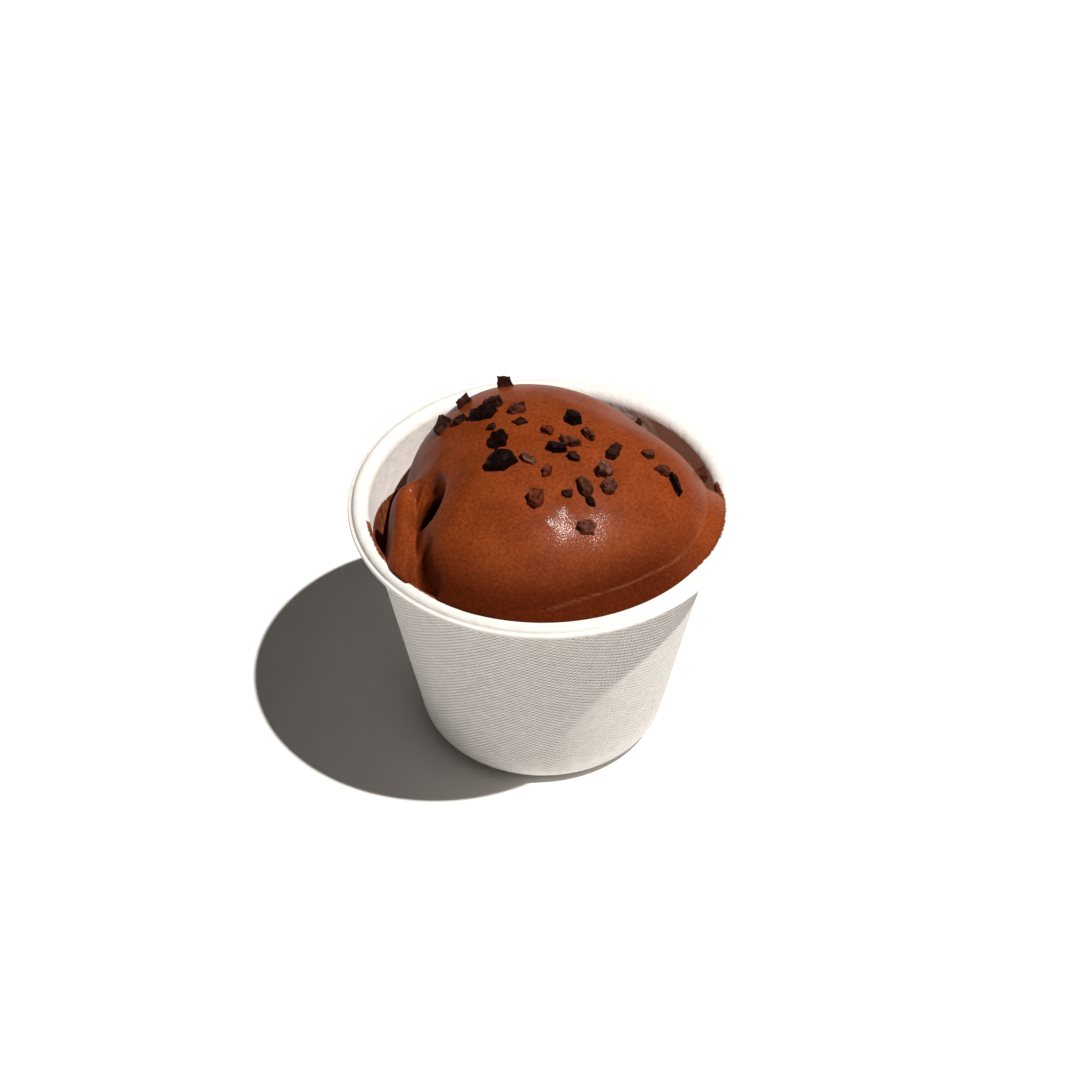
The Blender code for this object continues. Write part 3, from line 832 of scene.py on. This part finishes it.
def make_nibs():
    """All the nibs as one piece, each with its own tone."""
    draw = random.Random(SEED)
    nibs = list(NIBS) + hidden_nibs(draw)
    whole = bmesh.new()
    tones = []
    for nib in nibs:
        shape = nib_shape(nib, draw)
        part = bpy.data.meshes.new("nib")
        shape.to_mesh(part)
        shape.free()
        whole.from_mesh(part)
        tones += [(nib.tone + 0.5) / len(NIB_TONES)] * len(part.vertices)
        bpy.data.meshes.remove(part)
    mesh = bpy.data.meshes.new("cacao_nibs")
    whole.to_mesh(mesh)
    whole.free()
    mesh.shade_smooth()
    mesh.set_sharp_from_angle(angle=math.radians(NIB_SHARP_ANGLE))
    add_values(mesh, "tone", tones)
    return add_piece("cacao_nibs", mesh, nib_material())


def cup_profile():
    """The cup's section, from the middle of the base, up the outside and down the inside."""
    taper = math.degrees(math.atan(WALL_SLOPE))
    inner_corner = BASE_CORNER - WALL
    corner_out = BASE_RADIUS - BASE_CORNER / math.cos(math.radians(taper)) + WALL_SLOPE * BASE_CORNER
    corner_centre = (corner_out, BASE_CORNER)
    bead_middle = BEAD_TOP - BEAD_INSIDE
    bead_foot = BRIM_TOP - BEAD_SUNK
    profile = arc(corner_centre, BASE_CORNER, BASE_CORNER, -90.0, -taper, CUP_CORNER_STEPS)
    foot_radius, foot_level = profile[-1]
    for row in range(1, CUP_WALL_ROWS + 1):
        share = row / CUP_WALL_ROWS
        profile.append((foot_radius + (MOUTH_RADIUS - foot_radius) * share,
                        foot_level + (WALL_HEIGHT - foot_level) * share))
    brim_middle = (WALL_HEIGHT + BRIM_TOP) / 2
    brim_centre = (BRIM_RADIUS - BRIM_EDGE, brim_middle)
    profile += arc(brim_centre, BRIM_EDGE, brim_middle - WALL_HEIGHT, -90.0, 90.0, CUP_EDGE_STEPS)
    bead_centre = (BEAD_RADIUS, bead_foot)
    profile += arc(bead_centre, BEAD_OUTSIDE, BEAD_TOP - bead_foot, 0.0, 90.0, CUP_EDGE_STEPS)
    inside_width = BEAD_RADIUS - cup_inside_radius(bead_middle)
    bead_centre = (BEAD_RADIUS, bead_middle)
    profile += arc(bead_centre, inside_width, BEAD_INSIDE, 90.0, 180.0, BEAD_INSIDE_STEPS)[1:]
    inside_centre = (corner_centre[0], FLOOR + inner_corner)
    inside_foot = arc(inside_centre, inner_corner, inner_corner, -taper, -90.0, INSIDE_CORNER_STEPS)
    top_radius, top_level = profile[-1]
    for row in range(1, CUP_INSIDE_ROWS):
        share = row / CUP_INSIDE_ROWS
        profile.append((top_radius + (inside_foot[0][0] - top_radius) * share,
                        top_level + (inside_foot[0][1] - top_level) * share))
    return profile + inside_foot


def cup_material():
    """Moulded fibre: off-white and matt, with a fine net pressed into the outside."""
    material, tree, shader, place = new_material("moulded_fibre")
    fibres = noise_node(tree, place, *FIBRE_NOISE)
    colour = two_colours(tree, fibres, *FIBRE_RANGE, FIBRE_DARKER, FIBRE_LIGHTER)
    # Smeared gelato on the rim, and painted shadow on the inner wall beside the lip, in one dark brown
    edge = noise_node(tree, place, *STAIN_NOISE)
    ragged = remapped(tree, edge, 0.0, 1.0, -STAIN_RAGGED, STAIN_RAGGED)
    smear_and_shadow = joined(tree, "ADD", stored(tree, "stain_and_shadow"), ragged)
    stain_and_shadow = remapped(tree, smear_and_shadow, 0.0, STAIN_SOFT, 0.0, 1.0)
    stain_and_shadow_colour = two_colours(tree, fibres, *FIBRE_RANGE, STAIN_AND_SHADOW_DARKER, STAIN_AND_SHADOW_LIGHTER)
    tree.links.new(mixed(tree, stain_and_shadow, colour, stain_and_shadow_colour), shader.inputs["Base Color"])
    axes = tree.nodes.new("ShaderNodeSeparateXYZ")
    tree.links.new(place, axes.inputs["Vector"])
    angle = joined(tree, "ARCTAN2", axes.outputs["Y"], axes.outputs["X"])
    across = joined(tree, "SINE", multiplied(tree, angle, NET_ROUND))
    rise = multiplied(tree, axes.outputs["Z"], 2.0 * math.pi / (NET_PITCH * MM))
    slant = joined(tree, "SUBTRACT", rise, multiplied(tree, angle, NET_SLANT))
    weave = joined(tree, "MULTIPLY", across, joined(tree, "SINE", slant))
    net = joined(tree, "MULTIPLY", weave, stored(tree, "net"))
    height = joined(tree, "ADD", net, fibres)
    tree.links.new(bumped(tree, height, *FIBRE_BUMP), shader.inputs["Normal"])
    shader.inputs["Roughness"].default_value = FIBRE_ROUGHNESS
    shader.inputs["Specular IOR Level"].default_value = FIBRE_SPECULAR
    return material


def make_cup():
    """The moulded fibre cup, with the net's imprint on its outside, gelato smeared on its rim, and a
    dark patch on the inner wall beside the lip that is partly smeared gelato and partly painted shadow.
    """
    profile = np.array(cup_profile())
    angles = np.arange(CUP_SEGMENTS) * 2.0 * math.pi / CUP_SEGMENTS
    radius = np.repeat(profile[:, :1], CUP_SEGMENTS, axis=1)
    level = np.repeat(profile[:, 1:], CUP_SEGMENTS, axis=1)
    corner_rows = CUP_CORNER_STEPS + 1
    outside = np.zeros(len(profile))
    outside[corner_rows:corner_rows + CUP_WALL_ROWS] = 1.0
    net = outside * smooth_step(0.0, NET_FULL_LEVEL, profile[:, 1])
    slant = 2.0 * math.pi * level / NET_PITCH - NET_SLANT * angles[None, :]
    weave = np.sin(NET_ROUND * angles)[None, :] * np.sin(slant)
    radius = radius - NET_DEPTH * 0.5 * (1.0 - weave) * net[:, None]
    azimuth = np.degrees(np.arctan2(np.sin(angles), np.cos(angles)))
    reach = np.interp(azimuth, *zip(*STAIN_REACH))
    smeared = np.clip(reach[None, :] - radius, -STAIN_LIMIT, STAIN_LIMIT)
    stain_and_shadow = np.where(level > BEAD_TOP - BEAD_INSIDE, smeared, -STAIN_LIMIT)
    # On the inner wall beside the lip: smeared gelato and painted shadow of the lip, up to a level at
    # each azimuth
    past_top = np.arange(len(profile))[:, None] > np.argmax(profile[:, 1])
    inner_wall = past_top & (level < BEAD_TOP - BEAD_INSIDE + WALL_TOUCH)
    smear_and_shadow_top = np.interp(np.mod(azimuth, 360.0), *zip(*SMEAR_AND_SHADOW_LEVELS))
    stain_and_shadow = np.where(inner_wall, smear_and_shadow_top[None, :] - level, stain_and_shadow)
    brim = smooth_step(BEAD_RADIUS, BRIM_RADIUS, radius)
    x = radius * np.cos(angles) + BRIM_SHIFT * brim
    rings = np.stack([x, radius * np.sin(angles), level], axis=-1)
    mesh = lathe("fibre_cup", rings)
    mesh.flip_normals()
    mesh.shade_smooth()
    add_values(mesh, "net", np.append(np.repeat(net, CUP_SEGMENTS), (0.0, 0.0)))
    add_values(mesh, "stain_and_shadow", np.append(stain_and_shadow.ravel(), (-STAIN_LIMIT, -STAIN_LIMIT)))
    return add_piece("fibre_cup", mesh, cup_material(), "cup")


def make_stage():
    """A plain pale floor with sunlight from the right, and a little light from all round."""
    mesh = bpy.data.meshes.new("floor")
    reach = STAGE_RADIUS * MM
    corners = [(-reach, -reach, 0), (reach, -reach, 0), (reach, reach, 0), (-reach, reach, 0)]
    mesh.from_pydata(corners, [], [(0, 1, 2, 3)])
    floor = bpy.data.objects.new("floor", mesh)
    bpy.context.scene.collection.objects.link(floor)
    material = bpy.data.materials.new("floor")
    material.use_nodes = True
    shader = material.node_tree.nodes["Principled BSDF"]
    shader.inputs["Base Color"].default_value = (*STAGE_COLOUR, 1.0)
    shader.inputs["Roughness"].default_value = STAGE_ROUGHNESS
    shader.inputs["Specular IOR Level"].default_value = STAGE_SPECULAR
    mesh.materials.append(material)
    sun = bpy.data.lights.new("sun", "SUN")
    sun.energy = SUN_STRENGTH
    sun.angle = math.radians(SUN_ANGLE)
    sun.color = SUN_COLOUR
    lamp = bpy.data.objects.new("sun", sun)
    lamp.rotation_euler = Vector(SUN_FROM).to_track_quat("Z", "Y").to_euler()
    bpy.context.scene.collection.objects.link(lamp)
    world = bpy.data.worlds.new("sky")
    world.use_nodes = True
    background = world.node_tree.nodes["Background"]
    background.inputs["Color"].default_value = (*FILL_COLOUR, 1.0)
    background.inputs["Strength"].default_value = FILL
    bpy.context.scene.world = world
    bpy.context.scene.view_settings.view_transform = "Standard"


def make_camera():
    """The camera at the photograph's place, aimed so that it needs no shift."""
    camera = bpy.data.cameras.new("camera")
    camera.lens = CAMERA_LENS
    item = bpy.data.objects.new("camera", camera)
    item.location = Vector(CAMERA_PLACE) * MM
    item.rotation_euler = (math.radians(90.0 - CAMERA_PITCH), 0.0, math.radians(CAMERA_YAW))
    bpy.context.scene.collection.objects.link(item)
    bpy.context.scene.camera = item


make_camera()
make_stage()
make_cup()
make_gelato()
make_nibs()
